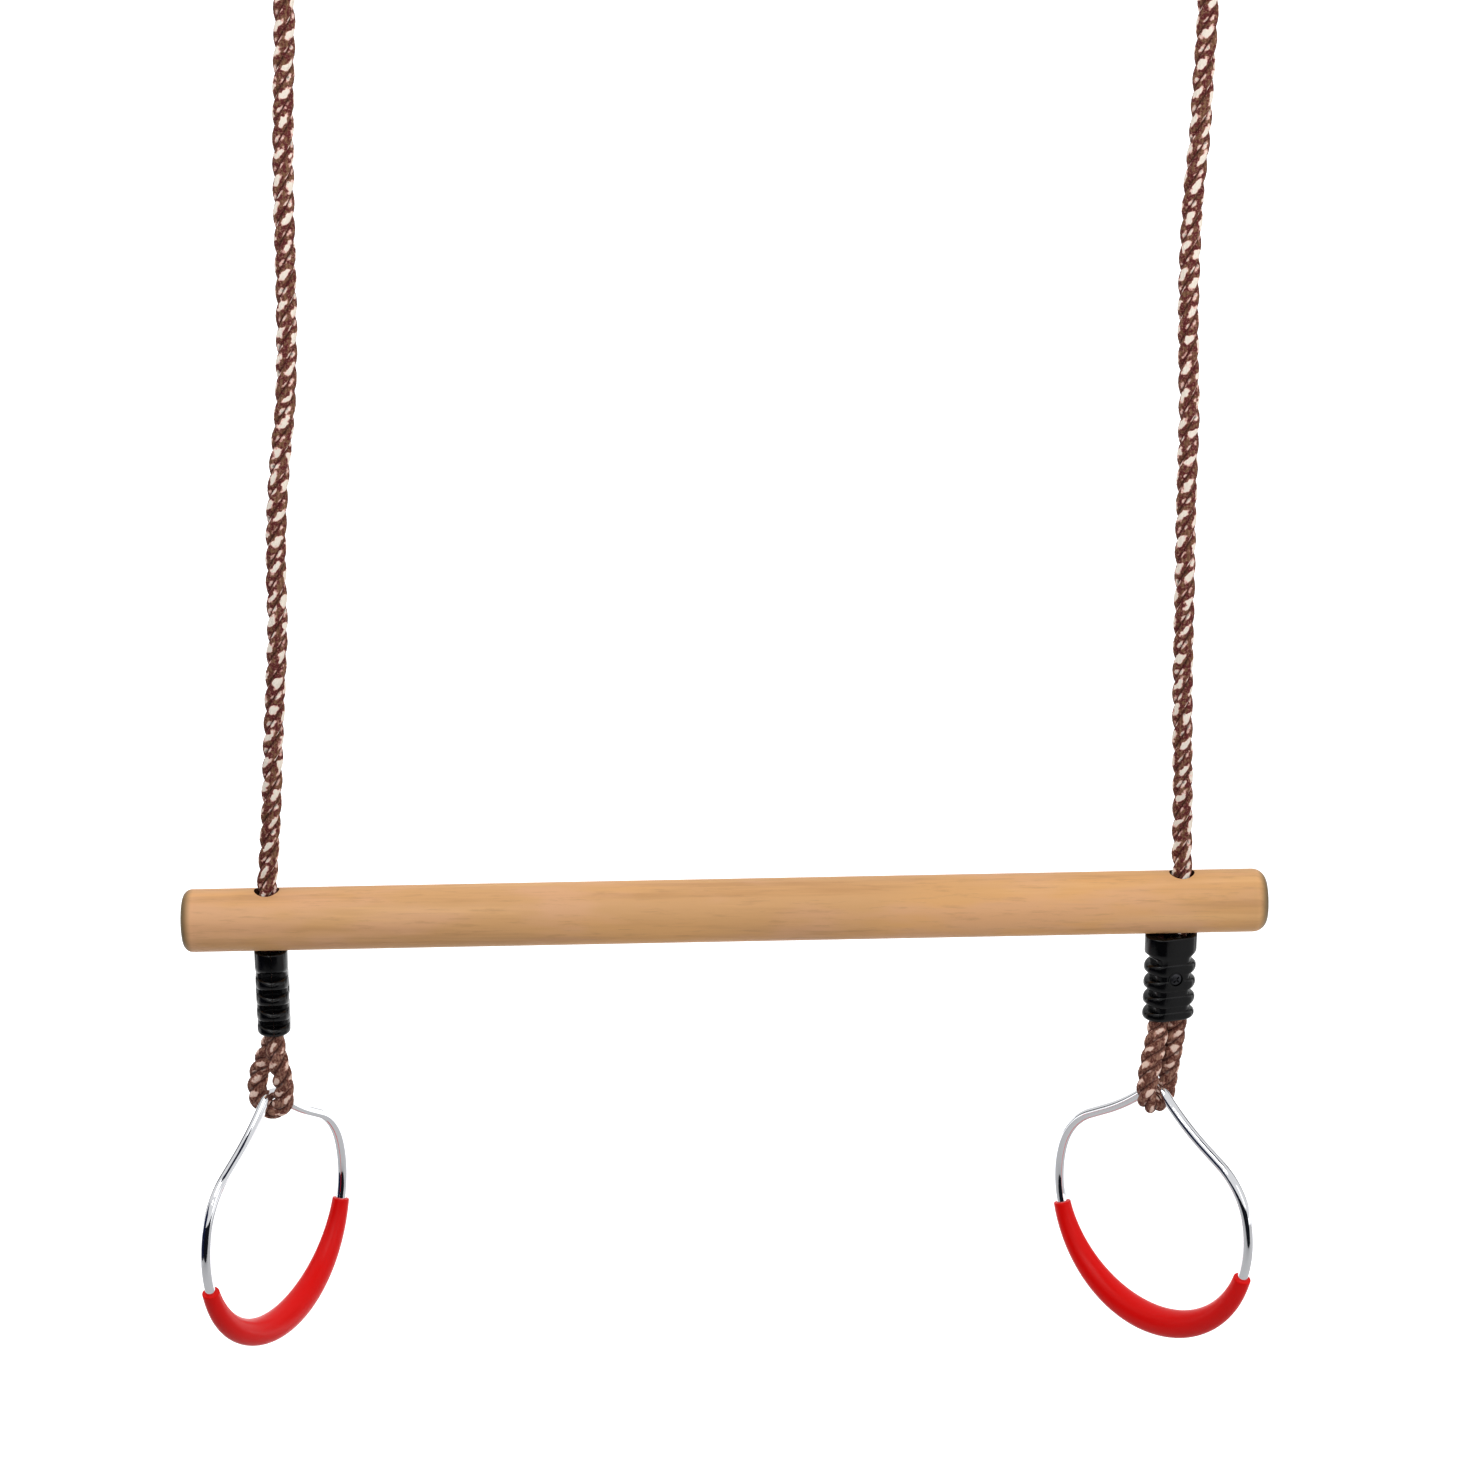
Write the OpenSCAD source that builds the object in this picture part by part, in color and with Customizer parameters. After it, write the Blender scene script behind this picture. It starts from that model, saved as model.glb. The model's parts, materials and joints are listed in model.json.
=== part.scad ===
// Child's trapeze: a wooden bar on two ropes, with a gymnastics ring hung below each rope hole.
// Millimetres, +Z up, X along the bar, -Y towards the front.
// The origin is on the hanging line, where two ceiling hooks bear on the insides of the
// hanging rings, above the middle of the bar.

/* [Bar] */
// Length of the wooden bar
bar_len = 600; // [500:10:700]
// Diameter of the wooden bar
bar_d = 35; // [30:0.5:40]
// Rounding of the bar's left end
left_round = 5; // [2:0.5:9]
// Rounding of the bar's right end
right_round = 8; // [2:0.5:9]
// Rope hole from each end of the bar
hole_inset = 47; // [40:1:60]
// Diameter of each rope hole
hole_d = 14; // [14:0.5:16]
// How far the bar hangs off level, right end up, in degrees
bar_tilt = 1.2; // [0:0.1:2]

/* [Rope] */
// Diameter of the braided rope
rope_d = 11.5; // [11:0.1:11.6]
// Height from the bar's middle to the hanging line
hang_height = 650; // [640:5:900]
// Left hanging ring from the middle of the bar
left_hook_x = -223.5; // [-235:0.5:-215]
// Right hanging ring from the middle of the bar
right_hook_x = 246; // [235:0.5:255]

/* [Hanging rings] */
// Outside diameter of each hanging ring
eye_od = 50; // [48:1:60]
// Wire diameter of each hanging ring
eye_wire_d = 6; // [5:0.5:6]

/* [Rope clamps] */
// Width of a clamp across its fins
clamp_w = 30; // [29:0.5:32]
// Depth of a clamp, front to back
clamp_d = 18.5; // [18:0.5:20]
// Length of a clamp along the rope
clamp_len = 50; // [48:1:54]
// Turn of the left lower clamp, in degrees
left_clamp_turn = 96; // [60:1:100]
// Turn of the right lower clamp, in degrees
right_clamp_turn = 18; // [0:1:40]

/* [Gymnastics rings] */
// Diameter of the ring's steel rod
rod_d = 6; // [5:0.5:6]
// Radius of the lower arc, at the rod's centre
arc_r = 69.2; // [66:0.2:74]
// Diameter of the hand grip at its middle
grip_mid_d = 16.8; // [14:0.2:20]
// Diameter of the hand grip at its ends
grip_end_d = 10; // [9:0.2:12]
// Half of the angle that the grip covers
grip_half = 73.5; // [60:0.5:78]
// Rod of each ring below its clamp
loop_drop = 42; // [38:0.5:50]
// Lean of the left loop along the ring's axis
left_loop_lean = 4.6; // [-8:0.2:8]
// Lean of the right loop along the ring's axis
right_loop_lean = -7.2; // [-8:0.2:8]
// Turn of the left ring's plane from the bar, in degrees
left_ring_turn = 62.6; // [40:0.1:80]
// Turn of the right ring's plane from the bar, in degrees
right_ring_turn = -45.9; // [-80:0.1:-20]

/* [Hidden] */

$fn = 64;
LEFT = -1;
RIGHT = 1;
fit = 0.3;              // air between faces that move past each other
rope_r = rope_d / 2;
rod_r = rod_d / 2;
eye_wire_r = eye_wire_d / 2;

// Hanging ring: its inside top is the hanging line
eye_r = (eye_od - eye_wire_d) / 2;
eye_z = eye_wire_r - eye_r;
eye_bottom_z = eye_z - eye_r;
function hook_x(side) = side == LEFT ? left_hook_x : right_hook_x;
upper_wrap_r = eye_wire_r + fit + rope_r;
upper_loop_drop = 38;
upper_clamp_z = eye_bottom_z - upper_loop_drop;      // top face of an upper clamp

// Rope holes and the points where the ropes leave the underside of the bar
hole_x = bar_len / 2 - hole_inset;
bar_under = bar_d / 2 / cos(bar_tilt);
exit_x = [-252.6, 253.3]; // left, right: the rope lies against one side of its hole
function index(side) = side == LEFT ? 0 : 1;
function exit_of(side) = exit_x[index(side)];
function under_z(side) = -hang_height + exit_of(side) * tan(bar_tilt) - bar_under;
function lower_clamp_z(side) = under_z(side) - clamp_gap();
// Room for a level clamp to turn round its rope under the tilted bar
function clamp_gap() = fit + (channel_x + clamp_w / 2) * tan(bar_tilt);

// Clamp: two rope channels side by side, a collar, four fins and a bell mouth for the loop
channel_x = 5.7;        // middle of a channel from the middle of the clamp
squeezed_w = 7.1;       // the rope squeezed in its channel: across the clamp
squeezed_d = 13;        // and front to back
core_w = 20.4;
core_d = 17;
collar_h = 11.6;
fin_count = 4;
fin_pitch = 9.6;
fin_h = 6.9;
fin_chamfer = 1.6;
edge = 0.7;
mouth_w = 24;
mouth_d = 14;
mouth_h = 5;
parting = 0.1;          // half of the gap between the two shells
boss_d = 10;
screw_z = -25;
screw_shank_r = 1.9;
screw_hole_r = 2.1;
screw_head_r = 3.5;
screw_head_h = 2.2;
recess_r = 3.8;
recess_h = 2.4;
nut_af = 7;
nut_h = 2.2;            // a thin nut, clear of the ropes in their channels
nut_pocket_h = 2.6;
nut_hole_r = 2;

// Middle of each lower clamp: the load-bearing rope runs down one of its channels
function clamp_turn(side) = side == LEFT ? left_clamp_turn : right_clamp_turn;
function across(angle) = [cos(angle), sin(angle), 0];
function clamp_xy(side) = [exit_of(side), 0, 0] - side * channel_x * across(clamp_turn(side));
function mouth_z(side) = lower_clamp_z(side) - clamp_len;

// Rings: the rod's apex rests in the bight of the rope loop, which leans a little to one side
lower_wrap_r = rod_r + fit + rope_r;
function ring_turn(side) = side == LEFT ? left_ring_turn : right_ring_turn;
function lean(side) = side == LEFT ? left_loop_lean : right_loop_lean;
function loop_mid(side, t) =
    clamp_xy(side) + lean(side) * ease(t) * across(ring_turn(side) + 90)
    + [0, 0, mouth_z(side) - t * loop_drop];
function apex(side) = loop_mid(side, 1);

// Outline of the rod: lower arc, shoulder, straight, gentle hollow curve, rounded apex
shoulder_r = 0.614 * arc_r;
shoulder_from = 14;     // where the shoulder leaves the lower arc, above level
straight_rise = 30;     // rise of the straight, above level
apex_rise = 44;         // rise where the hollow curve meets the rounded apex
apex_r = 9.2;
shoulder_mid = (arc_r - shoulder_r) * [cos(shoulder_from), sin(shoulder_from)];
shoulder_end = shoulder_mid + shoulder_r * [sin(straight_rise), cos(straight_rise)];
apex_height = 1.078 * arc_r;
to_apex_x = shoulder_end[0] - apex_r * sin(apex_rise);
to_apex_z = apex_height - apex_r * (1 - cos(apex_rise)) - shoulder_end[1];
hollow_x = sin(apex_rise) - sin(straight_rise);
hollow_z = cos(straight_rise) - cos(apex_rise);
hollow_r = (to_apex_z - to_apex_x * tan(straight_rise)) / (hollow_z - hollow_x * tan(straight_rise));
straight_len = (to_apex_x - hollow_r * hollow_x) / cos(straight_rise);
straight_end = shoulder_end + straight_len * [-cos(straight_rise), sin(straight_rise)];
hollow_mid = straight_end + hollow_r * [sin(straight_rise), cos(straight_rise)];

// Routes of the two ropes from the upper clamps to the holes: [x, y, height over the bar's middle]
left_route = [[-223.5, -5.7, 508], [-224, -5, 485], [-225.5, -4.5, 460], [-227, -4, 430],
              [-228, -3.5, 400], [-228.5, -3, 370], [-229, -3, 340], [-230, -2.5, 314],
              [-232, -2.5, 286], [-236, -2, 256], [-239, -2, 225], [-240.5, -1.5, 195],
              [-241, -1.5, 164], [-243.5, -1, 131], [-246, -1, 99], [-248.2, -0.5, 67],
              [-251, 0, 35], [-253, 0, 12]];
right_route = [[246, -5.7, 508], [245.8, -5, 485], [245.2, -4.5, 458], [244.6, -4, 430],
               [242.8, -3.5, 402], [242.3, -3, 373], [242.6, -3, 343], [243.8, -2.5, 314],
               [245.4, -2.5, 285], [245.8, -2, 254], [246.2, -2, 224], [247, -1.5, 193],
               [247.6, -1.5, 162], [248.4, -1, 131], [249.6, -1, 99], [251.1, -0.5, 67],
               [252, 0, 36], [252.7, 0, 20]];

rope_sides = 12;
rod_sides = 16;
grip_sides = 20;
grip_steps = 36;
wrap_steps = 8;
leg_steps = 4;

function ease(t) = t * t * (3 - 2 * t);
function unit(v) = v / norm(v);
function last(list) = len(list) - 1;

// One ring of points round c, at right angles to the way, r1 along out and r2 across it
function loop_ring(c, way, out, r1, r2, sides) =
    let (e2 = unit(cross(way, out)), e1 = cross(e2, way))
    [for (k = [0:sides - 1]) c + e1 * r1 * cos(360 * k / sides) + e2 * r2 * sin(360 * k / sides)];

// Direction of a list of stations [point, out, r1, r2] at station i
function way_at(st, i) = unit(st[min(i + 1, last(st))][0] - st[max(i - 1, 0)][0]);

function skin_sides(n, m, flip) =
    [for (i = [0:m - 2], k = [0:n - 1])
        let (a = i * n + k, b = i * n + (k + 1) % n)
        each flip ? [[a, b, b + n], [a, b + n, a + n]] : [[a, b + n, b], [a, a + n, b + n]]];

// A closed solid tube through stations
module tube(st, sides) {
    m = len(st);
    rings = [for (i = [0:m - 1]) loop_ring(st[i][0], way_at(st, i), st[i][1], st[i][2], st[i][3], sides)];
    caps = [[for (k = [0:sides - 1]) k], [for (k = [sides - 1:-1:0]) (m - 1) * sides + k]];
    polyhedron(points = [for (r = rings) each r], faces = concat(skin_sides(sides, m, false), caps));
}

// ---- Bar ----------------------------------------------------------------------------------

module bar_profile() {
    translate([0, left_round])
        square([bar_d / 2, bar_len - left_round - right_round]);
    for (end = [[left_round, left_round], [right_round, bar_len - right_round]]) {
        translate([bar_d / 2 - end[0], end[1]])
            circle(end[0]);
        translate([0, end[1] - end[0]])
            square([bar_d / 2 - end[0], 2 * end[0]]);
    }
}

module bar() {
    color("burlywood")
        translate([0, 0, -hang_height])
            rotate([0, -bar_tilt, 0])
                difference() {
                    rotate([0, 90, 0])
                        translate([0, 0, -bar_len / 2])
                            rotate_extrude()
                                bar_profile();
                    for (side = [LEFT, RIGHT])
                        translate([side * hole_x, 0, 0])
                            cylinder(h = 2 * bar_d, d = hole_d, center = true);
                }
}

// ---- Hanging rings ------------------------------------------------------------------------

module hanging_ring(side) {
    color("silver")
        translate([hook_x(side), 0, eye_z])
            rotate([90, 0, 0])
                rotate_extrude()
                    translate([eye_r, 0])
                        circle(eye_wire_r);
}

// ---- Ropes --------------------------------------------------------------------------------

// Half of the upper loop, from its clamp up to the wire: y goes from the channel to the wrap
function upper_leg(side, dir) =
    [for (i = [0:leg_steps])
        let (t = i / leg_steps, y = channel_x + (upper_wrap_r - channel_x) * ease(t))
        [[hook_x(side), dir * y, upper_clamp_z + t * upper_loop_drop], [1, 0, 0],
         rope_r, min(rope_r, y - 0.4)]];

function upper_wrap(side) =
    [for (i = [1:wrap_steps - 1])
        let (a = 180 * i / wrap_steps)
        [[hook_x(side), upper_wrap_r * cos(a), eye_bottom_z + upper_wrap_r * sin(a)], [1, 0, 0],
         rope_r, rope_r]];

// The rope squeezed in an upper clamp's channel, between two depths below the clamp's top
function in_channel(side, dir, from, to) =
    [for (z = [from, to])
        [[hook_x(side), dir * channel_x, upper_clamp_z - z], [1, 0, 0],
         squeezed_d / 2 - 0.1, squeezed_w / 2 - 0.05]];

// The free end in its channel, the loop over the wire, the other channel, then down to the bar
function rope_stations(side, route) =
    concat(in_channel(side, 1, clamp_len - 4, mouth_h),
           upper_leg(side, 1),
           upper_wrap(side),
           reverse_list(upper_leg(side, -1)),
           in_channel(side, -1, mouth_h, clamp_len),
           [for (p = route) [[p[0], p[1], p[2] - hang_height], [1, 0, 0], rope_r, rope_r]],
           [[[exit_of(side), 0, under_z(side) - clamp_gap() + fit], [1, 0, 0], rope_r, rope_r]]);

function reverse_list(list) = [for (i = [last(list):-1:0]) list[i]];

module rope(side) {
    color("sienna")
        tube(rope_stations(side, side == LEFT ? left_route : right_route), rope_sides);
}

// ---- Clamps -------------------------------------------------------------------------------
// A clamp is drawn with its top face at z = 0 and its loop mouth at the bottom.

module slot_shape(w, d) {
    if (w > d) {
        square([w - d, d], center = true);
        for (s = [-1, 1])
            translate([s * (w - d) / 2, 0])
                circle(d / 2);
    } else {
        square([w, d - w], center = true);
        for (s = [-1, 1])
            translate([0, s * (d - w) / 2])
                circle(w / 2);
    }
}

// Half section of a round-ended plate, chamfered top and bottom: radius by height
module plate_section(h, chamfer) {
    r = clamp_d / 2;
    polygon([[0, -h], [r - chamfer, -h], [r, chamfer - h], [r, -edge], [r - edge, 0], [0, 0]]);
}

// A round-ended plate hanging down from z = 0
module plate(h, chamfer) {
    for (s = [-1, 1])
        translate([s * (clamp_w - clamp_d) / 2, 0, 0])
            rotate_extrude()
                plate_section(h, chamfer);
    rotate([90, 0, 90])
        linear_extrude(clamp_w - clamp_d, center = true)
            union() {
                plate_section(h, chamfer);
                mirror([1, 0])
                    plate_section(h, chamfer);
            }
}

module clamp_outside() {
    plate(collar_h, fin_chamfer);
    for (i = [0:fin_count - 1])
        translate([0, 0, i * fin_pitch + fin_h - clamp_len])
            plate(fin_h, i == 0 ? 2 * edge : fin_chamfer);
    translate([0, 0, -clamp_len + edge])
        linear_extrude(clamp_len - 2 * edge)
            square([core_w, core_d], center = true);
    translate([0, 0, screw_z])
        rotate([90, 0, 0])
            cylinder(h = clamp_d, d = boss_d, center = true);
}

module clamp_hollows() {
    for (s = [-1, 1])
        translate([s * channel_x, 0, -2 * clamp_len])
            linear_extrude(3 * clamp_len)
                slot_shape(squeezed_w, squeezed_d);
    translate([0, 0, -clamp_len - 1])
        linear_extrude(mouth_h + 1)
            slot_shape(mouth_w, mouth_d);
    translate([0, 0, screw_z])
        rotate([90, 0, 0]) {
            cylinder(h = 2 * clamp_d, r = screw_hole_r, center = true);
            translate([0, 0, clamp_d / 2 - recess_h])
                cylinder(h = clamp_d, r = recess_r);
            translate([0, 0, -clamp_d / 2 - clamp_d + nut_pocket_h])
                cylinder(h = clamp_d, r = (nut_af + 0.3) / 2 / cos(30), $fn = 6);
        }
}

// front is -1 for the front shell and 1 for the back shell
module clamp_shell(front) {
    color([0.09, 0.09, 0.1])
        intersection() {
            difference() {
                clamp_outside();
                clamp_hollows();
            }
            translate([0, front * (clamp_d + parting), -clamp_len / 2])
                cube([2 * clamp_w, 2 * clamp_d, 2 * clamp_len], center = true);
        }
}

module clamp_screw() {
    shank = clamp_d - recess_h - (nut_pocket_h - nut_h);
    color("silver")
        translate([0, -clamp_d / 2 + recess_h, screw_z])
            rotate([-90, 0, 0])
                difference() {
                    union() {
                        translate([0, 0, -screw_head_h])
                            cylinder(h = screw_head_h, r = screw_head_r);
                        cylinder(h = shank, r = screw_shank_r);
                    }
                    for (a = [45, 135])
                        rotate([0, 0, a])
                            translate([0, 0, -screw_head_h])
                                cube([0.9, 4, 2.4], center = true);
                }
}

module clamp_nut() {
    color("silver")
        translate([0, clamp_d / 2 - nut_pocket_h, screw_z])
            rotate([-90, 0, 0])
                difference() {
                    cylinder(h = nut_h, r = nut_af / 2 / cos(30), $fn = 6);
                    translate([0, 0, -1])
                        cylinder(h = nut_h + 2, r = nut_hole_r);
                }
}

// The stretches of rope inside a lower clamp: the load-bearing side and the free end
module clamped_strands() {
    color("sienna")
        for (s = [-1, 1])
            translate([s * channel_x, 0, -clamp_len + mouth_h])
                linear_extrude(clamp_len - mouth_h - fit)
                    slot_shape(squeezed_w - 0.1, squeezed_d - 0.1);
}

// An upper clamp hangs mouth upwards, with its channels one behind the other
module at_upper_clamp(side) {
    translate([hook_x(side), 0, upper_clamp_z - clamp_len])
        rotate([180, 0, 90])
            children();
}

module at_lower_clamp(side) {
    translate(clamp_xy(side) + [0, 0, lower_clamp_z(side)])
        rotate([0, 0, clamp_turn(side)])
            children();
}

// ---- Lower rope loops ---------------------------------------------------------------------

// One leg of the loop, from the clamp's mouth down to the rod's height; it turns as it goes,
// from across the clamp to across the rod
function lower_leg(side, dir) =
    let (from = clamp_turn(side), turn = ring_turn(side) + 90 - from)
    [for (i = [0:leg_steps])
        let (t = i / leg_steps, half = channel_x + (lower_wrap_r - channel_x) * ease(t))
        let (out = dir * across(from + turn * ease(t)))
        [loop_mid(side, t) + half * out, out, min(rope_r, half - 0.4), rope_r]];

function lower_wrap(side) =
    [for (i = [1:wrap_steps - 1])
        let (a = 180 * i / wrap_steps)
        let (out = cos(a) * across(ring_turn(side) + 90) - [0, 0, sin(a)])
        [apex(side) + lower_wrap_r * out, out, rope_r, rope_r]];

module rope_loop(side) {
    color("sienna")
        tube(concat(lower_leg(side, 1), lower_wrap(side), reverse_list(lower_leg(side, -1))),
             rope_sides);
}

// ---- Gymnastics rings ---------------------------------------------------------------------
// A ring is drawn in the XZ plane, with the middle of its lower arc at the origin.

// Points of an arc of radius r about mid, without its last point
function arc(mid, r, from, to, steps) =
    [for (i = [0:steps - 1])
        let (a = from + (to - from) * i / steps)
        mid + r * [cos(a), sin(a)]];

right_half = concat(arc([0, 0], arc_r, grip_half - 90, shoulder_from, 4),
                    arc(shoulder_mid, shoulder_r, shoulder_from, 90 - straight_rise, 8),
                    arc(hollow_mid, hollow_r, 270 - straight_rise, 270 - apex_rise, 5),
                    arc([0, apex_height - apex_r], apex_r, 90 - apex_rise, 90, 6));
left_half = [for (p = reverse_list(right_half)) [-p[0], p[1]]];
outline = concat(arc([0, 0], arc_r, -90 - grip_half, grip_half - 90, grip_steps),
                 right_half,
                 [[0, apex_height]],
                 [for (i = [0:last(left_half) - 1]) left_half[i]]);

// The closed rod, bent to the outline
module ring_rod() {
    m = len(outline);
    rings = [for (i = [0:m - 1])
        let (way = unit(outline[(i + 1) % m] - outline[(i + m - 1) % m]), p = outline[i])
        loop_ring([p[0], 0, p[1]], [way[0], 0, way[1]], [0, 1, 0], rod_r, rod_r, rod_sides)];
    skin = [for (i = [0:m - 1], k = [0:rod_sides - 1])
        let (a = i * rod_sides + k, b = i * rod_sides + (k + 1) % rod_sides)
        let (c = (a + rod_sides) % (m * rod_sides), d = (b + rod_sides) % (m * rod_sides))
        each [[a, d, b], [a, c, d]]];
    color("gainsboro")
        polyhedron(points = [for (r = rings) each r], faces = skin);
}

// Radius of the grip at a share of its half length, 0 at the middle and 1 at an end
function grip_r(share) = grip_end_d / 2 + (grip_mid_d - grip_end_d) / 2 * pow(cos(90 * share), 1.2);

function grip_ring(i, r) =
    let (a = -90 + grip_half * (2 * i / grip_steps - 1), out = [cos(a), 0, sin(a)])
    loop_ring(arc_r * out, [-sin(a), 0, cos(a)], out, r, r, grip_sides);

module ring_grip() {
    n = grip_sides;
    m = grip_steps + 1;
    outer = [for (i = [0:grip_steps]) grip_ring(i, grip_r(abs(2 * i / grip_steps - 1)))];
    inner = [for (i = [0:grip_steps]) grip_ring(i, (rod_r + 0.05) / cos(180 / n))];
    far = (m - 1) * n;
    ends = [for (k = [0:n - 1])
        let (j = (k + 1) % n)
        each [[k, j, m * n + j], [k, m * n + j, m * n + k],
              [far + k, m * n + far + j, far + j], [far + k, m * n + far + k, m * n + far + j]]];
    shifted = [for (f = skin_sides(n, m, true)) [for (v = f) v + m * n]];
    color("red")
        polyhedron(points = [for (r = concat(outer, inner)) each r],
                   faces = concat(skin_sides(n, m, false), shifted, ends));
}

module at_ring(side) {
    translate(apex(side))
        rotate([0, 0, ring_turn(side)])
            translate([0, 0, -apex_height])
                children();
}

bar();
hanging_ring(LEFT);  // left_hanging_ring
hanging_ring(RIGHT);  // right_hanging_ring
rope(LEFT);  // left_rope
rope(RIGHT);  // right_rope
at_upper_clamp(LEFT) clamp_shell(-1);  // left_upper_clamp_front
at_upper_clamp(LEFT) clamp_shell(1);  // left_upper_clamp_back
at_upper_clamp(LEFT) clamp_screw();  // left_upper_clamp_screw
at_upper_clamp(LEFT) clamp_nut();  // left_upper_clamp_nut
at_upper_clamp(RIGHT) clamp_shell(-1);  // right_upper_clamp_front
at_upper_clamp(RIGHT) clamp_shell(1);  // right_upper_clamp_back
at_upper_clamp(RIGHT) clamp_screw();  // right_upper_clamp_screw
at_upper_clamp(RIGHT) clamp_nut();  // right_upper_clamp_nut
at_lower_clamp(LEFT) clamp_shell(-1);  // left_lower_clamp_front
at_lower_clamp(LEFT) clamp_shell(1);  // left_lower_clamp_back
at_lower_clamp(LEFT) clamp_screw();  // left_lower_clamp_screw
at_lower_clamp(LEFT) clamp_nut();  // left_lower_clamp_nut
at_lower_clamp(LEFT) clamped_strands();  // left_clamped_rope
at_lower_clamp(RIGHT) clamp_shell(-1);  // right_lower_clamp_front
at_lower_clamp(RIGHT) clamp_shell(1);  // right_lower_clamp_back
at_lower_clamp(RIGHT) clamp_screw();  // right_lower_clamp_screw
at_lower_clamp(RIGHT) clamp_nut();  // right_lower_clamp_nut
at_lower_clamp(RIGHT) clamped_strands();  // right_clamped_rope
rope_loop(LEFT);  // left_rope_loop
rope_loop(RIGHT);  // right_rope_loop
at_ring(LEFT) ring_rod();  // left_ring_rod
at_ring(RIGHT) ring_rod();  // right_ring_rod
at_ring(LEFT) ring_grip();  // left_ring_grip
at_ring(RIGHT) ring_grip();  // right_ring_grip
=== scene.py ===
"""A child's trapeze: a wooden bar on two braided ropes, with a gymnastics ring below each rope hole."""

import json
import math

import bmesh
import bpy
from mathutils import Matrix, Vector


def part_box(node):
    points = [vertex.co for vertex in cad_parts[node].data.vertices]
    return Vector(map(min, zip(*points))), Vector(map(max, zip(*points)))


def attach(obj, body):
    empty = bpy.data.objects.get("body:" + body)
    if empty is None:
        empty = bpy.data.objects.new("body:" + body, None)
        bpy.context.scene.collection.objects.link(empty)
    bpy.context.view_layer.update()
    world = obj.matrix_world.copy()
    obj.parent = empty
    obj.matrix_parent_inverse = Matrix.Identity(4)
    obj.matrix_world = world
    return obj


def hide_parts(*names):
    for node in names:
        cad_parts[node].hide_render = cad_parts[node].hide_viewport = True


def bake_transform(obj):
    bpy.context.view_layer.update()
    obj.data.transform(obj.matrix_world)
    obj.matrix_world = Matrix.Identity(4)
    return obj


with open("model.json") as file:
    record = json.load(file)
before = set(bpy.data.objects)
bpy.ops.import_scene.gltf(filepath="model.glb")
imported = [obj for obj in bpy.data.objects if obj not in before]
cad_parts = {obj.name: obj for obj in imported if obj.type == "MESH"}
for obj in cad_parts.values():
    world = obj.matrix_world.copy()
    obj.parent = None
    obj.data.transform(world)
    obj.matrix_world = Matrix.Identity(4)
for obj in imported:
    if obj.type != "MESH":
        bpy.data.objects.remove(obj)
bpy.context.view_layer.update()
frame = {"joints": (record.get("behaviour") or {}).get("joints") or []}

MM = 0.001
LEFT, RIGHT = -1, 1
SIDES = {"left": LEFT, "right": RIGHT}
JOINTS = {j["name"]: j for j in frame["joints"]}


def joint_pos(name):
    return Vector(JOINTS[name]["pos_m"])


def joint_axis(name):
    return Vector(JOINTS[name]["axis"]).normalized()


# ---- Camera --------------------------------------------------------------------------------
camera_data = bpy.data.cameras.new("camera")
camera_data.lens = 90
camera_data.sensor_width = 36
camera = bpy.data.objects.new("camera", camera_data)
camera.location = (0.003, -1.878, 0.109)
camera.rotation_euler = (math.radians(90 - 19.18), 0, 0)
bpy.context.scene.collection.objects.link(camera)
bpy.context.scene.camera = camera


# ---- Small helpers -------------------------------------------------------------------------
def new_object(name, verts, faces, material=None, smooth_below=40):
    """A mesh object. Edges sharper than smooth_below degrees stay crisp."""
    mesh = bpy.data.meshes.new(name)
    mesh.from_pydata([tuple(v) for v in verts], [], faces)
    mesh.validate()
    obj = bpy.data.objects.new(name, mesh)
    bpy.context.scene.collection.objects.link(obj)
    finish_mesh(obj, material, smooth_below)
    return obj


def finish_mesh(obj, material=None, smooth_below=40):
    mesh = obj.data
    bm = bmesh.new()
    bm.from_mesh(mesh)
    bmesh.ops.recalc_face_normals(bm, faces=bm.faces)
    bm.to_mesh(mesh)
    bm.free()
    mesh.polygons.foreach_set("use_smooth", [True] * len(mesh.polygons))
    mesh.set_sharp_from_angle(angle=math.radians(smooth_below))
    if material:
        mesh.materials.clear()
        mesh.materials.append(material)


def stack_faces(sides, rings, closed=False, caps=True):
    """Faces of a skin through rings of points, with the two ends capped."""
    faces = []
    for i in range(rings if closed else rings - 1):
        for k in range(sides):
            a, b = i * sides + k, i * sides + (k + 1) % sides
            c, d = (a + sides) % (sides * rings), (b + sides) % (sides * rings)
            faces.append((a, b, d, c))
    if caps and not closed:
        faces.append(tuple(range(sides - 1, -1, -1)))
        faces.append(tuple((rings - 1) * sides + k for k in range(sides)))
    return faces


def circle(sides):
    """The angles of points spread evenly round a circle."""
    return [math.tau * k / sides for k in range(sides)]


def lathe(profile, sides):
    """Points turned about the X axis: profile is (x, radius) from one end to the other."""
    return [(x, r * math.cos(a), r * math.sin(a)) for x, r in profile for a in circle(sides)]


def cut(obj, tool, operation="DIFFERENCE"):
    """obj with the tool taken out of it or joined to it."""
    mod = obj.modifiers.new("cut", "BOOLEAN")
    mod.operation, mod.solver, mod.object = operation, "EXACT", tool
    depsgraph = bpy.context.evaluated_depsgraph_get()
    mesh = bpy.data.meshes.new_from_object(obj.evaluated_get(depsgraph))
    obj.modifiers.clear()
    old, obj.data = obj.data, mesh
    bpy.data.meshes.remove(old)
    bpy.data.objects.remove(tool, do_unlink=True)


def ease(t):
    return t * t * (3 - 2 * t)


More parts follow.
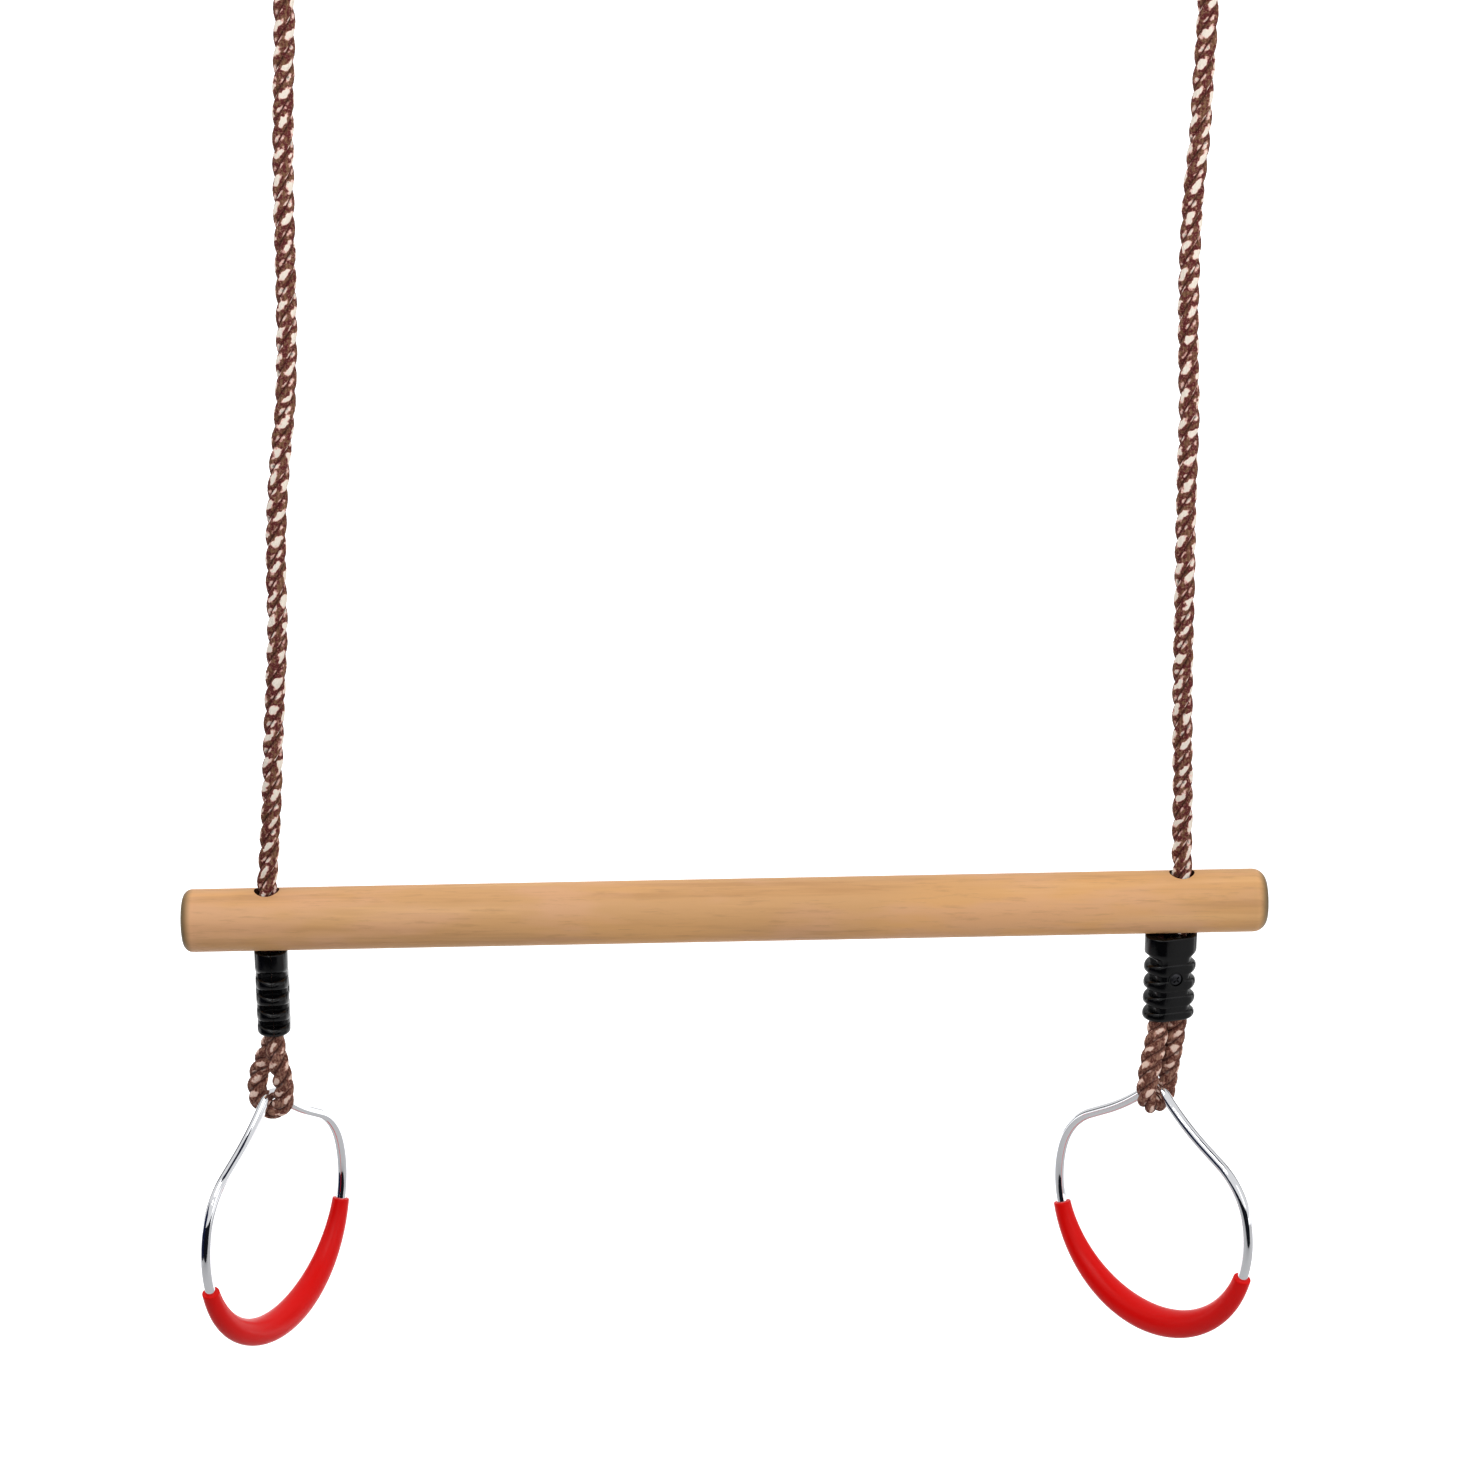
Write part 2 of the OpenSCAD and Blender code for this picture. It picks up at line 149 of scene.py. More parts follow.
def smooth_path(points, step):
    """Points at an even spacing along a smooth curve through points; each may carry extra numbers."""
    n = len(points)
    dense = []
    for i in range(n - 1):
        p0, p1 = points[max(i - 1, 0)], points[i]
        p2, p3 = points[i + 1], points[min(i + 2, n - 1)]
        for j in range(24):
            t = j / 24
            dense.append([catmull(a, b, c, d, t) for a, b, c, d in zip(p0, p1, p2, p3, strict=True)])
    dense.append(list(points[-1]))
    runs = [0.0]
    for a, b in zip(dense, dense[1:], strict=False):
        runs.append(runs[-1] + math.dist(a[:3], b[:3]))
    count = max(2, round(runs[-1] / step))
    out, k = [], 0
    for i in range(count + 1):
        want = runs[-1] * i / count
        while k < len(runs) - 2 and runs[k + 1] < want:
            k += 1
        f = (want - runs[k]) / max(runs[k + 1] - runs[k], 1e-12)
        out.append([a + (b - a) * f for a, b in zip(dense[k], dense[k + 1], strict=True)])
    return out, runs[-1]


def catmull(a, b, c, d, t):
    return 0.5 * (
        2 * b + (c - a) * t + (2 * a - 5 * b + 4 * c - d) * t * t + (3 * b - a - 3 * c + d) * t**3
    )


# ---- Materials -----------------------------------------------------------------------------
class Shader:
    """Small wrapper round a node tree: add nodes and join them in a line or two."""

    def __init__(self, name):
        self.material = bpy.data.materials.new(name)
        self.material.use_nodes = True
        self.tree = self.material.node_tree
        self.base = self.tree.nodes["Principled BSDF"]

    def node(self, kind, **settings):
        made = self.tree.nodes.new("ShaderNode" + kind)
        for key, value in settings.items():
            setattr(made, key, value)
        return made

    def join(self, output, target):
        self.tree.links.new(output, target)

    def math(self, operation, *values):
        made = self.node("Math", operation=operation)
        for socket, value in zip(made.inputs, values, strict=False):
            if isinstance(value, (int, float)):
                socket.default_value = value
            else:
                self.join(value, socket)
        return made.outputs[0]

    def mix(self, factor, a, b):
        made = self.node("Mix", data_type="RGBA")
        for socket, value in ((made.inputs[0], factor), (made.inputs[6], a), (made.inputs[7], b)):
            if isinstance(value, (int, float)):
                socket.default_value = value
            elif isinstance(value, tuple):
                socket.default_value = (*value, 1)
            else:
                self.join(value, socket)
        return made.outputs[2]

    def noise(self, vector, scale, detail=3.0, rough=0.5):
        made = self.node("TexNoise")
        made.inputs["Scale"].default_value = scale
        made.inputs["Detail"].default_value = detail
        made.inputs["Roughness"].default_value = rough
        self.join(vector, made.inputs["Vector"])
        return made.outputs["Fac"]

    def stretched(self, scale):
        """Object coordinates, scaled by axis."""
        coords = self.node("TexCoord").outputs["Object"]
        mapping = self.node("Mapping")
        mapping.inputs["Scale"].default_value = scale
        self.join(coords, mapping.inputs["Vector"])
        return mapping.outputs["Vector"]

    def ramp(self, value, low, high):
        """0 below low, 1 above high, smooth in between."""
        made = self.node("MapRange", interpolation_type="SMOOTHSTEP")
        made.inputs["From Min"].default_value = low
        made.inputs["From Max"].default_value = high
        self.join(value, made.inputs["Value"])
        return made.outputs["Result"]

    def bump(self, height, strength, distance):
        made = self.node("Bump")
        made.inputs["Strength"].default_value = strength
        made.inputs["Distance"].default_value = distance
        self.join(height, made.inputs["Height"])
        self.join(made.outputs["Normal"], self.base.inputs["Normal"])

    def set(self, **values):
        names = {"color": "Base Color", "rough": "Roughness", "metal": "Metallic",
                 "coat": "Coat Weight", "coat_rough": "Coat Roughness",
                 "specular": "Specular IOR Level", "sheen": "Sheen Weight"}
        for key, value in values.items():
            socket = self.base.inputs[names[key]]
            if isinstance(value, tuple):
                socket.default_value = (*value, 1)
            elif isinstance(value, (int, float)):
                socket.default_value = value
            else:
                self.join(value, socket)


def wood_material():
    s = Shader("wood")
    long_grain = s.noise(s.stretched((4, 90, 90)), 1.0, 4, 0.65)
    fine_grain = s.noise(s.stretched((45, 420, 420)), 1.0, 4, 0.7)
    broad = s.noise(s.stretched((3.5, 14, 14)), 1.0, 3, 0.6)
    blush = s.noise(s.stretched((9, 32, 32)), 1.0, 3, 0.6)
    color = s.mix(s.ramp(broad, 0.38, 0.62), (0.90, 0.475, 0.180), (0.78, 0.430, 0.185))
    color = s.mix(s.math("MULTIPLY", s.ramp(long_grain, 0.50, 0.66), 0.6), color, (0.62, 0.315, 0.130))
    color = s.mix(s.math("MULTIPLY", s.ramp(blush, 0.48, 0.66), 0.5), color, (0.88, 0.490, 0.290))
    color = s.mix(s.math("MULTIPLY", s.ramp(long_grain, 0.46, 0.30), 0.5), color, (0.98, 0.580, 0.260))
    color = s.mix(s.math("MULTIPLY", s.ramp(fine_grain, 0.52, 0.70), 0.30), color, (0.50, 0.245, 0.110))
    split = s.node("SeparateXYZ")
    s.join(s.node("TexCoord").outputs["Object"], split.inputs[0])
    reach = s.math("ABSOLUTE", split.outputs["X"])
    # Dark olive over both ends of the bar, where they round off: painted shade, made patchy by the broad
    # noise.
    painted_end_shade = s.math("MULTIPLY", s.ramp(reach, 0.2935, 0.2995), s.math("ADD", 0.45, broad))
    color = s.mix(painted_end_shade, color, (0.17, 0.115, 0.045))
    s.set(color=color, rough=0.5, specular=0.3)
    s.bump(fine_grain, 0.25, 0.0002)
    return s.material


def rope_material(name, flecks, short, edge, pale, open_width, deep, brown, warm, bright):
    """Brown yarn with pale flecks on the strands' crests, partly the yarn's own pale colour and
    partly painted highlights, and painted shade in the valleys between strands. U runs round a
    strand, from its outermost line, and V along it, one unit for each turn of the rope. Of the
    numbers, flecks is how many lie on a strand in a turn, short is how quickly each fades off the
    crest, edge and pale are how strong the side row and all the flecks are, and open_width is how
    far round the strand it stays lit before the painted valley shade. The colours are the two
    browns, and the rim and the middle of a fleck, which are partly a painted highlight's."""
    s = Shader(name)
    split = s.node("SeparateXYZ")
    s.join(s.node("UVMap").outputs["UV"], split.inputs[0])
    u, v = split.outputs["X"], split.outputs["Y"]
    space = s.node("TexCoord").outputs["Object"]
    patch = s.noise(space, 150, 2, 0.5)
    small = s.noise(space, 430, 2, 0.5)
    fine = s.noise(space, 1100, 3, 0.6)
    # signed turn round the strand from its outermost line, -0.5 to 0.5
    turn = s.math("SUBTRACT", s.math("FRACT", s.math("ADD", u, 0.5)), 0.5)
    side = s.math("ABSOLUTE", turn)
    upright = 2.24      # turns round the strand, for one along it, that keep a yarn upright
    leaning = 6         # the same for the flecks, which lean with the strand
    along = s.math("ADD", s.math("MULTIPLY", v, flecks), s.math("MULTIPLY", turn, flecks / leaning))
    uneven = s.math("ADD", s.math("MULTIPLY", s.math("SUBTRACT", patch, 0.5), 2.4),
                    s.math("MULTIPLY", s.math("SUBTRACT", small, 0.5), 2.2))
    off_crest = s.math("SUBTRACT", turn, s.math("MULTIPLY", s.math("SUBTRACT", patch, 0.5), 0.45))

    def row(shift, off, tightness, height):
        wave = s.math("COSINE", s.math("MULTIPLY", s.math("ADD", along, shift), math.tau))
        fall = s.math("MULTIPLY", s.math("MULTIPLY", off, off), tightness)
        return s.math("ADD", s.math("SUBTRACT", wave, fall), height)

    # Flecks on each strand's crest that fade off it, with warm rims and bright middles: partly the yarn's
    # own pale colour, partly painted highlights.
    crest_row = row(0.0, off_crest, short, 0.0)
    edge_row = row(0.45, s.math("SUBTRACT", side, 0.2), 1.5 * short, edge)
    fleck = s.math("ADD", s.math("MAXIMUM", crest_row, edge_row), uneven)
    pale_fleck_and_highlight = s.ramp(fleck, 0.20 - pale, 0.75 - pale)
    yarn = s.math("SINE", s.math("ADD", s.math("MULTIPLY", turn, math.tau * 8),
                                 s.math("MULTIPLY", v, math.tau * 8 * upright)))
    brown = s.mix(s.ramp(small, 0.42, 0.60), deep, brown)
    brown = s.mix(s.ramp(fine, 0.50, 0.72), brown, (0.450, 0.215, 0.165))
    # Darker in the troughs between yarns, where the bump is lowest: painted shade.
    brown = s.mix(s.math("MULTIPLY", s.ramp(yarn, 0.2, -0.9), 0.35), brown, (0.060, 0.014, 0.010))
    light = s.mix(s.ramp(fleck, 0.45 - pale, 1.1 - pale), warm, bright)
    color = s.mix(pale_fleck_and_highlight, brown, light)
    # Near-black in the valleys between strands, beyond open_width round from a crest: painted shade.
    ragged = s.math("ADD", side, s.math("MULTIPLY", s.math("SUBTRACT", small, 0.5), 0.4))
    painted_valley_shade = s.ramp(ragged, open_width, open_width + 0.14)
    color = s.mix(s.math("MULTIPLY", painted_valley_shade, 0.8), color, (0.050, 0.010, 0.010))
    s.set(color=color, rough=0.75, specular=0.15)
    height = s.math("ADD", s.math("MULTIPLY", yarn, 0.5), s.math("MULTIPLY", fine, 0.8))
    s.bump(height, 0.5, 0.0004)
    return s.material


def plastic_material(name, color, rough, specular, grain=0.12):
    s = Shader(name)
    space = s.node("TexCoord").outputs["Object"]
    waves = s.noise(space, 60, 2, 0.5)
    s.set(color=color, rough=s.math("ADD", rough, s.math("MULTIPLY", waves, 0.12)), specular=specular)
    s.bump(s.noise(space, 700, 2, 0.5), grain, 0.0002)
    return s.material


def metal_material(name, color, rough):
    s = Shader(name)
    space = s.node("TexCoord").outputs["Object"]
    s.set(color=color, metal=1.0, rough=s.math("ADD", rough, s.math("MULTIPLY", s.noise(space, 90), 0.06)))
    return s.material


WOOD = wood_material()
# Near-black brown for the walls of the bar's rope holes: painted shade.
HOLE_SHADE_WOOD = plastic_material("hole_painted_shade", (0.055, 0.022, 0.010), 0.7, 0.1)
# Both ropes carry painted shade in their valleys. Their pale flecks are partly the yarn's own colour and
# partly painted highlights on the main rope, and painted highlights on the loops.
ROPE = rope_material(
    "rope", flecks=3.5, short=95, edge=-0.85, pale=0.70, open_width=0.19,
    deep=(0.130, 0.020, 0.022), brown=(0.235, 0.118, 0.060),
    warm=(1.0, 0.55, 0.47), bright=(1.0, 0.90, 0.78))
LOOP_ROPE = rope_material(
    "loop_rope", flecks=3.3, short=110, edge=-0.7, pale=0.50, open_width=0.12,
    deep=(0.150, 0.050, 0.034), brown=(0.400, 0.210, 0.145),
    warm=(0.60, 0.27, 0.20), bright=(1.0, 0.74, 0.62))
BLACK = plastic_material("black_plastic", (0.0015, 0.0015, 0.002), 0.14, 0.28)
RED = plastic_material("red_plastic", (0.86, 0.004, 0.003), 0.26, 0.14, 0.05)
CHROME = metal_material("chrome", (0.86, 0.87, 0.90), 0.03)
STEEL = metal_material("zinc_steel", (0.70, 0.71, 0.73), 0.16)
DARK_STEEL = metal_material("dark_screw", (0.045, 0.045, 0.05), 0.30)


def place(obj, node_slot, body, *nodes):
    """obj rides on a body and stands for its CAD nodes, which are hidden. node_slot, the record's material
    slot, is not used.
    """
    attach(obj, body)
    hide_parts(*nodes)


# ---- Ropes ---------------------------------------------------------------------------------
ROPE_R = 5.75 * MM
STRANDS = 3
STRAND_R = 3.0 * MM
STRAND_AT = ROPE_R - STRAND_R       # from the rope's middle to a strand's
STRAND_SIDES = 14
MAIN_LAY, LOOP_LAY = 40 * MM, 25 * MM
SQUEEZE = (6.4 * MM, 3.5 * MM)      # half sizes of the rope in a clamp's channel
CHANNEL = 5.7 * MM                  # from a clamp's middle to each channel
CLAMP_LEN = 50 * MM
MOUTH = 5 * MM
WIRE_R = 3 * MM                     # of the hanging rings and of the gymnastics rings' rods
WRAP = WIRE_R + 0.3 * MM + ROPE_R   # the radius at which a rope goes round a wire
UPPER_DROP = 38 * MM                # from a hanging ring's wire to its clamp
EYE_BOTTOM = joint_pos("trapeze_swing").z
UPPER_TOP = EYE_BOTTOM - UPPER_DROP
HANG_HEIGHT = 650                   # of the hanging line above the bar, in millimetres
END_ABOVE_TWIST = 0.7 * MM          # a main rope's end stays inside the bar's hole

# The middle lines of the ropes: x, y and the height above the bar's middle, in millimetres
LEFT_ROUTE = [(-223.5, -5.7, 508), (-224, -5, 485), (-225.5, -4.5, 460), (-227, -4, 430),
              (-228, -3.5, 400), (-228.5, -3, 370), (-229, -3, 340), (-230, -2.5, 314),
              (-232, -2.5, 286), (-236, -2, 256), (-239, -2, 225), (-240.5, -1.5, 195),
              (-241, -1.5, 164), (-243.5, -1, 131), (-246, -1, 99), (-248.2, -0.5, 67),
              (-251, 0, 35), (-253, 0, 12)]
RIGHT_ROUTE = [(246, -5.7, 508), (245.8, -5, 485), (245.2, -4.5, 458), (244.6, -4, 430),
               (242.8, -3.5, 402), (242.3, -3, 373), (242.6, -3, 343), (243.8, -2.5, 314),
               (245.4, -2.5, 285), (245.8, -2, 254), (246.2, -2, 224), (247, -1.5, 193),
               (247.6, -1.5, 162), (248.4, -1, 131), (249.6, -1, 99), (251.1, -0.5, 67),
               (252, 0, 36), (252.7, 0, 20)]


def laid_rope(name, stations, phase, material, lay):
    """Three strands laid round a line, one turn in each lay of length. A station is x, y, z, the
    outward direction, and the half sizes along it and across it."""
    count = len(stations)
    middle = [Vector(st[:3]) for st in stations]
    lean = math.atan(math.tau * STRAND_AT / lay)
    apart = 0.37            # shifts one strand's flecks along from the next strand's
    verts, faces, uvs = [], [], []
    for strand in range(STRANDS):
        first, run = len(verts), 0.0
        for i, st in enumerate(stations):
            at = middle[i]
            way = (middle[min(i + 1, count - 1)] - middle[max(i - 1, 0)]).normalized()
            side = way.cross(Vector(st[3:6])).normalized()
            out = side.cross(way)
            if i:
                run += (at - middle[i - 1]).length
            a = math.tau * (run / lay + strand / STRANDS) + phase
            for b in circle(STRAND_SIDES):
                reach = STRAND_AT + STRAND_R * math.cos(b)
                swing = STRAND_R * math.sin(b) * math.cos(lean)
                u = reach * math.cos(a) - swing * math.sin(a)
                v = reach * math.sin(a) + swing * math.cos(a)
                w = -STRAND_R * math.sin(b) * math.sin(lean)
                verts.append(at + out * u * st[6] / ROPE_R + side * v * st[7] / ROPE_R + way * w)
            if i:
                v0 = (run - math.dist(st[:3], stations[i - 1][:3])) / lay + strand * apart
                v1 = run / lay + strand * apart
                below = first + (i - 1) * STRAND_SIDES
                for k in range(STRAND_SIDES):
                    p, q = below + k, below + (k + 1) % STRAND_SIDES
                    faces.append((p, q, q + STRAND_SIDES, p + STRAND_SIDES))
                    u0, u1 = k / STRAND_SIDES, (k + 1) / STRAND_SIDES
                    uvs.append(((u0, v0), (u1, v0), (u1, v1), (u0, v1)))
        for ring, back in ((0, True), (count - 1, False)):
            loop = [first + ring * STRAND_SIDES + k for k in range(STRAND_SIDES)]
            faces.append(tuple(reversed(loop)) if back else tuple(loop))
            uvs.append(tuple((0.5, 0.25) for _ in loop))
    mesh = bpy.data.meshes.new(name)
    mesh.from_pydata([tuple(v) for v in verts], [], faces)
    layer = mesh.uv_layers.new(name="UVMap")
    for poly, corners in zip(mesh.polygons, uvs, strict=True):
        for loop, corner in zip(poly.loop_indices, corners, strict=True):
            layer.data[loop].uv = corner
    mesh.polygons.foreach_set("use_smooth", [True] * len(mesh.polygons))
    mesh.set_sharp_from_angle(angle=math.radians(60))
    mesh.materials.append(material)
    obj = bpy.data.objects.new(name, mesh)
    bpy.context.scene.collection.objects.link(obj)
    return obj


LEG_STEPS = [i / 5 for i in range(6)]               # from a clamp to the start of a bend
BEND_STEPS = [math.pi * i / 8 for i in range(1, 8)]     # round a wire, without the two ends


def hook_x(side):
    """The middle of a side's hanging ring."""
    low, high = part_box(("left" if side == LEFT else "right") + "_hanging_ring")
    return (low[0] + high[0]) / 2


def main_rope_points(side, route, end):
    """From the free end in the upper clamp, over the wire, back through the clamp and down."""
    x = hook_x(side)
    out = (1.0, 0.0, 0.0)
    wide, narrow = SQUEEZE
    rows = []

    def row(y, z, r1, r2, px=x):
        rows.append((px, y, z, *out, r1, r2))

    row(CHANNEL, UPPER_TOP - CLAMP_LEN + 1 * MM, wide, narrow)
    for depth in (35, 22, 10, 5):
        row(CHANNEL, UPPER_TOP - depth * MM, wide, narrow)
    for t in LEG_STEPS:
        y = CHANNEL + (WRAP - CHANNEL) * ease(t)
        row(y, UPPER_TOP + t * UPPER_DROP, ROPE_R, min(ROPE_R, y - 0.2 * MM))
    for a in BEND_STEPS:
        row(WRAP * math.cos(a), EYE_BOTTOM + WRAP * math.sin(a), ROPE_R, ROPE_R)
    for t in reversed(LEG_STEPS):
        y = CHANNEL + (WRAP - CHANNEL) * ease(t)
        row(-y, UPPER_TOP + t * UPPER_DROP, ROPE_R, min(ROPE_R, y - 0.2 * MM))
    for depth in (5, 10, 22, 35, 49):
        row(-CHANNEL, UPPER_TOP - depth * MM, wide, narrow)
    for px, py, pz in route:
        rows.append((px * MM, py * MM, (pz - HANG_HEIGHT) * MM, *out, ROPE_R, ROPE_R))
    rows.append((*end, *out, ROPE_R, ROPE_R))
    return smooth_path(rows, 1.5 * MM)


for name, side in SIDES.items():
    route, phase = (LEFT_ROUTE, 0.6) if side == LEFT else (RIGHT_ROUTE, 1.5)
    end = joint_pos(f"{name}_drop_twist") + Vector((0, 0, END_ABOVE_TWIST))
    stations, length = main_rope_points(side, route, end)
    rope = laid_rope(f"{name}_rope_strands", stations, phase, ROPE, MAIN_LAY)
    place(rope, "rope", "trapeze", f"{name}_rope")


def clamp_wide(name, side):
    """The level direction from one of a lower clamp's two channels to the other."""
    mouth, twist = joint_pos(f"{name}_loop_rock"), joint_pos(f"{name}_drop_twist")
    return Vector((mouth.x - twist.x, mouth.y - twist.y, 0)).normalized() * (-side)


def ring_axes(name):
    """The directions along a gymnastics ring's plane and square to it, both level."""
    along = joint_axis(f"{name}_ring_swing")
    return along, Vector((-along.y, along.x, 0))


def loop_points(name, side):
    """From the top of the lower clamp, down through it, round under the ring's rod and back up."""
    mouth = joint_pos(f"{name}_loop_rock")
    apex = joint_pos(f"{name}_ring_swing")
    normal = ring_axes(name)[1]
    wide = clamp_wide(name, side)
    start = math.atan2(wide.y, wide.x)
    turn = math.atan2(normal.y, normal.x) - start
    turn = (turn + math.pi) % math.tau - math.pi
    drop = mouth.z - apex.z
    broad, narrow = SQUEEZE
    top = mouth.z + CLAMP_LEN
    # the right loop's legs press on each other, and the left loop's stand a little apart
    press, swell = (0.9 * MM, 0.12) if side == RIGHT else (-0.9 * MM, 0.04)

    def leg(sign):
        rows = []
        cut_back = 1.6 * MM if sign == side else 3 * MM     # the free end stops deeper
        depths = (cut_back, 14 * MM, 28 * MM, 40 * MM)
        for z in (*(top - depth for depth in depths), mouth.z + MOUTH):
            p = Vector((mouth.x, mouth.y, z)) + wide * CHANNEL * sign
            rows.append((*p, *(wide * sign), narrow, broad))
        for t in LEG_STEPS:
            half = CHANNEL + (WRAP - CHANNEL) * ease(t)
            a = start + turn * ease(t)
            out = Vector((math.cos(a), math.sin(a), 0)) * sign
            middle = Vector((mouth.x, mouth.y, mouth.z)).lerp(Vector((apex.x, apex.y, mouth.z)), ease(t))
            half -= press * math.sin(math.pi * t)
            p = middle + out * half - Vector((0, 0, drop * t))
            full = ROPE_R * (1 + swell * math.sin(math.pi * t))
            rows.append((*p, *out, min(full, half + 0.9 * MM), full))
        return rows

    rows = leg(1)
    for a in BEND_STEPS:
        out = normal * math.cos(a) - Vector((0, 0, math.sin(a)))
        p = apex + out * WRAP
        rows.append((*p, *out, ROPE_R, ROPE_R))
    rows += list(reversed(leg(-1)))
    return smooth_path(rows, 1.1 * MM)


for name, side in SIDES.items():
    stations, _ = loop_points(name, side)
    phase = 0.4 if side == LEFT else 2.0
    loop = laid_rope(f"{name}_loop_strands", stations, phase, LOOP_ROPE, LOOP_LAY)
    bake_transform(loop)
    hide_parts(f"{name}_clamped_rope", f"{name}_rope_loop")


# ---- Bar -----------------------------------------------------------------------------------
BAR_HALF, BAR_R = 0.3, 17.5 * MM
BAR_TILT = math.radians(1.2)
HOLE_X, HOLE_R = 0.253, 7 * MM
HOLE_SIDES = 48


def bar_piece():
    """The bar with its rounded ends and its two holes, whose walls are painted dark as shade."""

    def rounded_end(way, r):
        """The profile from the bar's full radius in to its end face."""
        turns = [math.pi / 2 * i / 10 for i in range(11)]
        return [(way * (BAR_HALF - r * (1 - math.sin(a))), BAR_R - r * (1 - math.cos(a))) for a in turns]

    low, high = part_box("bar")
    profile = rounded_end(LEFT, 5 * MM)[::-1]
    profile += [(-BAR_HALF + 0.05 + 0.5 * i / 24, BAR_R) for i in range(25)]
    profile += rounded_end(RIGHT, 8 * MM)
    sides = 120
    body = new_object("bar_wood", lathe(profile, sides), stack_faces(sides, len(profile)), WOOD)
    for side in (LEFT, RIGHT):
        tool = [(side * HOLE_X + HOLE_R * math.cos(a), HOLE_R * math.sin(a), z)
                for z in (-0.03, 0.03) for a in circle(HOLE_SIDES)]
        cut(body, new_object("hole", tool, stack_faces(HOLE_SIDES, 2)))
    finish_mesh(body, WOOD, 35)
    # The second slot holds the painted shade of the hole walls.
    body.data.materials.append(HOLE_SHADE_WOOD)
    for poly in body.data.polygons:
        if math.hypot(abs(poly.center.x) - HOLE_X, poly.center.y) < HOLE_R - 0.01 * MM:
            poly.material_index = 1
    body.data.transform(Matrix.Translation((low + high) / 2) @ Matrix.Rotation(-BAR_TILT, 4, "Y"))
    return body


place(bar_piece(), "wood", "trapeze", "bar")


# ---- Hanging rings -------------------------------------------------------------------------
HANGING_RING_R = 22 * MM


def torus(name, centre, major, minor, around, sides, material):
    verts = []
    for a in circle(around):
        out = Vector((math.cos(a), 0, math.sin(a)))
        for b in circle(sides):
            verts.append(centre + out * (major + minor * math.cos(b)) + Vector((0, minor * math.sin(b), 0)))
    return new_object(name, verts, stack_faces(sides, around, closed=True), material)


for name in SIDES:
    low, high = (Vector(p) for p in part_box(f"{name}_hanging_ring"))
    ring = torus(f"{name}_hanging_ring_wire", (low + high) / 2, HANGING_RING_R, WIRE_R, 96, 24, STEEL)
    place(ring, "steel", "hangers", f"{name}_hanging_ring")


# ---- Clamps --------------------------------------------------------------------------------
# A clamp is made with its top face at z = 0 and its mouth at the bottom, then put in place.
# Its sizes are in millimetres, and heights are measured down from the top.
BROAD, DEEP = 15, 9.25              # half sizes of the collar and the fins
CORE = (10.2, 8.9, 5.2)             # half sizes and corner radius between the fins
COLLAR = ((5, 1), (9.2, 1), (10.2, 0.96), (11.3, 0.70), (12.4, 0.3), (13, 0.04))
FIN_TOPS = (15.8, 25.3, 34.8, 44.3)
FIN_H = 6.6
SCREW_Z = -24.5
SHELL_GAP = 0.12                    # from the parting plane to each shell
HEAD_SEAT, POCKET_FLOOR = -DEEP + 2.4, DEEP - 2.6
SECTION_POINTS = 64


def section(hx, hy, rc, z):
    """A rounded rectangle at height z, with the same count of points whatever its size."""
    points = []
    quarter = SECTION_POINTS // 4
    for q, (sx, sy) in enumerate(((1, 1), (-1, 1), (-1, -1), (1, -1))):
        for i in range(quarter):
            a = math.radians(90 * q + 90 * (i + 0.5) / quarter)
            points.append((sx * (hx - rc) + rc * math.cos(a), sy * (hy - rc) + rc * math.sin(a), z))
    return points


def oval(inset_x, inset_y, depth):
    """The collar's outline, drawn in from its full size."""
    hx, hy = BROAD - inset_x, DEEP - inset_y
    return section(hx * MM, hy * MM, hy * 0.999 * MM, -depth * MM)


def blend_section(f, depth):
    """Between the clamp's core at f = 0 and a fin at f = 1."""
    hx = (CORE[0] + (BROAD - CORE[0]) * f) * MM
    hy = (CORE[1] + (DEEP - CORE[1]) * f) * MM
    rc = min(hy * 0.999, (CORE[2] + (DEEP - CORE[2]) * f) * MM)
    return section(hx, hy, rc, -depth * MM)


def fullness(t):
    """A fin's outline: 1 in its middle, at t = 0, and 0 at its top and bottom."""
    return max(0.0, 1 - abs(t) ** 2.3) ** (1 / 2.3)


def clamp_outside():
    """The skin of both shells together: a collar, four fins and a mouth that draws in."""
    top_round = 0.9
    rows = []
    for i in range(6):
        a = math.pi / 2 * i / 5
        inset = top_round * (1 - math.sin(a))
        rows.append(oval(inset, inset, top_round * (1 - math.cos(a))))
    rows += [blend_section(f, depth) for depth, f in COLLAR]
    for n, top in enumerate(FIN_TOPS):
        steps = 6 if n == 3 else 12         # the lowest fin runs on into the mouth
        for i in range(steps + 1):
            t = -math.cos(math.pi * i / 12)
            rows.append(blend_section(fullness(t), top + (1 + t) * FIN_H / 2))
    widest = FIN_TOPS[3] + FIN_H / 2
    for i in range(1, 8):
        a = math.pi / 2 * i / 7
        drawn_in = 1 - math.cos(a)
        rows.append(oval(2.4 * drawn_in, 1.6 * drawn_in, widest + (50 - widest) * math.sin(a)))
    verts = [p for row in rows for p in row]
    return new_object("clamp", verts, stack_faces(SECTION_POINTS, len(rows)), BLACK)


def prism(hx, hy, rc, x, z0, z1):
    """A tool with a rounded section, upright at x, which is in metres."""
    rows = [[(px + x, py, z * MM) for px, py, _ in section(hx * MM, hy * MM, rc * MM, 0)] for z in (z0, z1)]
    return new_object("tool", [p for r in rows for p in r], stack_faces(SECTION_POINTS, 2))


def screw_rings(sides, *rings):
    """Rings of points round the clamp's screw, each given by its radius and its y."""
    return [(r * math.cos(a) * MM, y * MM, (SCREW_Z + r * math.sin(a)) * MM)
            for r, y in rings for a in circle(sides)]


def rod_y(radius, y0, y1, sides):
    """A tool along Y at the clamp's screw."""
    return new_object("tool", screw_rings(sides, (radius, y0), (radius, y1)), stack_faces(sides, 2))


